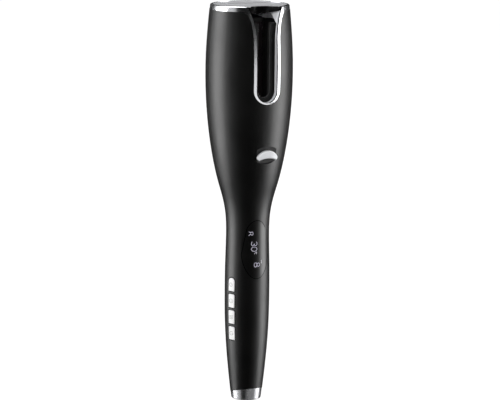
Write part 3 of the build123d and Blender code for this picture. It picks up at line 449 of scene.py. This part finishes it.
POWER_SIGN = [arc((0, -0.05), (0.42, 0.42), 125, 415), [(0, 0.5), (0, 0.02)]]
CLOCK_SIGN = [arc((0, 0), (0.48, 0.48), 90, 450), [(0, 0.28), (0, 0), (0.22, -0.1)]]
HEAT_SIGN = [[(x + 0.09 * math.sin(k * math.pi / 6), -0.5 + k / 24) for k in range(25)]
             for x in (-0.34, 0.0, 0.34)]
TURN_SIGN = [arc((0, 0), (0.44, 0.44), 60, -230), [(0.05, 0.62), (0.24, 0.36), (-0.04, 0.2)]]
KEY_SIGNS = [POWER_SIGN, CLOCK_SIGN, HEAT_SIGN, TURN_SIGN]


def on_key(key_name):
    """Places a mark's own x down the handle and its y round towards the front, from the key's middle."""
    skin = skin_reader(key_name)
    low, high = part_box(key_name)
    middle = (low + high) / 2
    radius = math.hypot(middle.x, middle.y)

    def place(x, y):
        return skin(KEY_AZIMUTH + y / radius, middle.z - x)
    return place


for number, strokes in enumerate(KEY_SIGNS, start=1):
    mark(f"key_{number}_sign", sized(strokes, KEY_MARK_SIZE, KEY_MARK_SIZE), KEY_MARK_STROKE,
         on_key(f"side_key_{number}"), KEY_PRINT, f"key_{number}")


# ---------------------------------------------------------------- hair guide edge

GUIDE_SLOT_HALF_WIDTH = 4.5 * MM
GUIDE_SLOT_BOTTOM = 217.5 * MM
BEAD_RADIUS = 0.14 * MM


def build_guide_bead():
    """The fine rounded bead along the edge of the turning guide's slot."""
    low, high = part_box("guide_drum")
    radius = high.x
    turns = [math.radians(180 + 180 * i / 16) for i in range(17)]
    centre_height = GUIDE_SLOT_BOTTOM + GUIDE_SLOT_HALF_WIDTH
    outline = [(-GUIDE_SLOT_HALF_WIDTH, high.z - MM)]
    outline += [(GUIDE_SLOT_HALF_WIDTH * math.cos(t), centre_height + GUIDE_SLOT_HALF_WIDTH * math.sin(t))
                for t in turns]
    outline += [(GUIDE_SLOT_HALF_WIDTH, high.z - MM)]
    line = bpy.data.curves.new("guide_slot_bead", "CURVE")
    line.dimensions = "3D"
    line.bevel_depth = BEAD_RADIUS
    line.use_fill_caps = True
    spline = line.splines.new("POLY")
    spline.points.add(len(outline) - 1)
    for corner, (x, z) in zip(spline.points, outline):
        corner.co = (x, -math.sqrt(radius ** 2 - x ** 2), z, 1)
    line.materials.append(finish("guide_bead", (grey(0.05), grey(0.08)), (0.25, 0.35)))
    bead = bpy.data.objects.new("guide_slot_bead", line)
    bpy.context.scene.collection.objects.link(bead)
    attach(bead, "hair_guide")


build_guide_bead()


# ---------------------------------------------------------------- studio

FLOOR_SIZE = 60.0
FLOOR_SHADE = (0.05, 0.05, 0.05, 1)
FLOOR_GLOW = 1.02

TOP_BOX_SIZE = 1.0
TOP_BOX_POWER = 22
TOP_BOX_ANGLE = -120     # degrees round from the camera
TOP_BOX_DISTANCE = 0.6
TOP_BOX_HEIGHT = 1.7

METAL_NODES = ("slot_trim", "base_band")

# Upright lights: name, degrees round from the camera, distance, width, low and high edge, watts
METAL_CARDS = [
    ("left_card", -76, 1.3, 1.9, -0.9, 1.3, 9.5),
    ("low_card", 30, 1.2, 1.4, -0.5, 0.2, 4),
]
GLOSS_BOXES = [
    ("left_box", -90, 1.3, 0.85, -0.55, 1.3, 31),
    ("right_box", 91, 1.3, 0.85, -0.55, 1.3, 33),
]
SOFT_FILLS = [
    ("front_fill", -10, 2.2, 1.6, 0.2, 1.9, 60),
    ("left_fill", -95, 2.2, 1.6, 0.0, 1.6, 24),
    ("right_fill", 95, 2.2, 1.6, 0.0, 1.6, 24),
    ("rear_fill", 180, 2.2, 1.6, 0.2, 1.9, 30),
]


def build_floor():
    """A plain pale floor out to the horizon, which neither mirrors in the object nor blocks low lights."""
    half = FLOOR_SIZE / 2
    mesh = bpy.data.meshes.new("floor")
    mesh.from_pydata([(-half, -half, 0), (half, -half, 0), (half, half, 0), (-half, half, 0)],
                     [], [(0, 1, 2, 3)])
    material = bpy.data.materials.new("pale_floor")
    material.use_nodes = True
    shader = material.node_tree.nodes["Principled BSDF"]
    shader.inputs["Base Color"].default_value = FLOOR_SHADE
    shader.inputs["Roughness"].default_value = 1.0
    shader.inputs["Specular IOR Level"].default_value = 0.0
    shader.inputs["Emission Color"].default_value = (1, 1, 1, 1)
    shader.inputs["Emission Strength"].default_value = FLOOR_GLOW
    mesh.materials.append(material)
    floor = bpy.data.objects.new("floor", mesh)
    bpy.context.scene.collection.objects.link(floor)
    floor.visible_glossy = False
    floor.visible_diffuse = False
    floor.visible_shadow = False


def round_from_camera(angle):
    """The level direction that lies angle degrees round from the camera, to its right."""
    turn = math.radians(angle)
    return TOWARDS_CAMERA * math.cos(turn) + CAMERA_RIGHT * math.sin(turn)


def softbox(name, angle, distance, width, low, high, power, mirrored=True):
    """An upright rectangular light round the object, facing it, seen either in gloss or as soft fill."""
    data = bpy.data.lights.new(name, "AREA")
    data.shape = "RECTANGLE"
    data.size = width
    data.size_y = high - low
    data.energy = power
    lamp = bpy.data.objects.new(name, data)
    bpy.context.scene.collection.objects.link(lamp)
    lamp.location = round_from_camera(angle) * distance + UP * (low + high) / 2
    facing = -round_from_camera(angle)
    lamp.rotation_euler = facing.to_track_quat("-Z", "Y").to_euler()
    lamp.visible_camera = False
    lamp.visible_glossy = mirrored
    lamp.visible_diffuse = not mirrored
    return lamp


def softbox_above():
    """A square light overhead, a little behind the object and to the camera's left."""
    data = bpy.data.lights.new("top_box", "AREA")
    data.size = TOP_BOX_SIZE
    data.energy = TOP_BOX_POWER
    lamp = bpy.data.objects.new("top_box", data)
    bpy.context.scene.collection.objects.link(lamp)
    lamp.location = round_from_camera(TOP_BOX_ANGLE) * TOP_BOX_DISTANCE + UP * TOP_BOX_HEIGHT
    lamp.rotation_euler = (UP * AIM_HEIGHT - lamp.location).to_track_quat("-Z", "Y").to_euler()
    lamp.visible_camera = False


def build_world():
    """A studio room: dim below the horizon, and above it paler behind the object and to the camera's left."""
    world = bpy.data.worlds.new("studio")
    bpy.context.scene.world = world
    world.use_nodes = True
    tree = world.node_tree
    background = tree.nodes["Background"]
    place = tree.nodes.new("ShaderNodeTexCoord")

    def facing(direction, start, end, low, high):
        """How bright the room is along a direction, from low at start to high at end."""
        dot = tree.nodes.new("ShaderNodeVectorMath")
        dot.operation = "DOT_PRODUCT"
        dot.inputs[1].default_value = direction
        tree.links.new(place.outputs["Generated"], dot.inputs[0])
        spread = tree.nodes.new("ShaderNodeMapRange")
        spread.interpolation_type = "SMOOTHSTEP"
        for socket, value in zip(("From Min", "From Max", "To Min", "To Max"),
                                 (start, end, low, high)):
            spread.inputs[socket].default_value = value
        tree.links.new(dot.outputs["Value"], spread.inputs["Value"])
        return spread.outputs["Result"]

    def times(a, b):
        product = tree.nodes.new("ShaderNodeMath")
        product.operation = "MULTIPLY"
        tree.links.new(a, product.inputs[0])
        tree.links.new(b, product.inputs[1])
        return product.outputs["Value"]

    height = facing(UP, -0.02, 0.25, 0.04, 1.0)
    behind = facing(-TOWARDS_CAMERA, -0.2, 0.6, 0.12, 1.0)
    leftward = facing(-CAMERA_RIGHT, -0.5, 0.5, 0.35, 1.2)
    tree.links.new(times(times(height, behind), leftward), background.inputs["Strength"])


def build_camera():
    """A shot from the front left that looks a little down."""
    data = bpy.data.cameras.new("camera")
    data.lens = LENS_MM
    data.sensor_width = SENSOR_MM
    camera = bpy.data.objects.new("camera", data)
    bpy.context.scene.collection.objects.link(camera)
    looking = -TOWARDS_CAMERA * math.cos(VIEW_DIP) - UP * math.sin(VIEW_DIP)
    rise = VIEW_REACH * math.tan(VIEW_DIP)
    camera.location = TOWARDS_CAMERA * VIEW_REACH + CAMERA_RIGHT * AIM_ASIDE + UP * (AIM_HEIGHT + rise)
    turned = looking.to_track_quat("-Z", "Y").to_matrix() @ Matrix.Rotation(CAMERA_ROLL, 3, "Z")
    camera.rotation_euler = turned.to_euler()
    bpy.context.scene.camera = camera


def card_for_metal(name, angle, distance, width, low, high, power):
    """A pale card that only the bright trim mirrors, as reflectors set close to it would."""
    card = softbox(name, angle, distance, width, low, high, power)
    receivers = bpy.data.collections.new(name + "_receivers")
    for node_name in METAL_NODES:
        receivers.objects.link(NODES[node_name])
    card.light_linking.receiver_collection = receivers


build_floor()
build_world()
for placing in METAL_CARDS:
    card_for_metal(*placing)
for placing in GLOSS_BOXES:
    softbox(*placing)
for placing in SOFT_FILLS:
    softbox(*placing, mirrored=False)
softbox_above()
build_camera()
bpy.context.scene.view_settings.view_transform = "Standard"
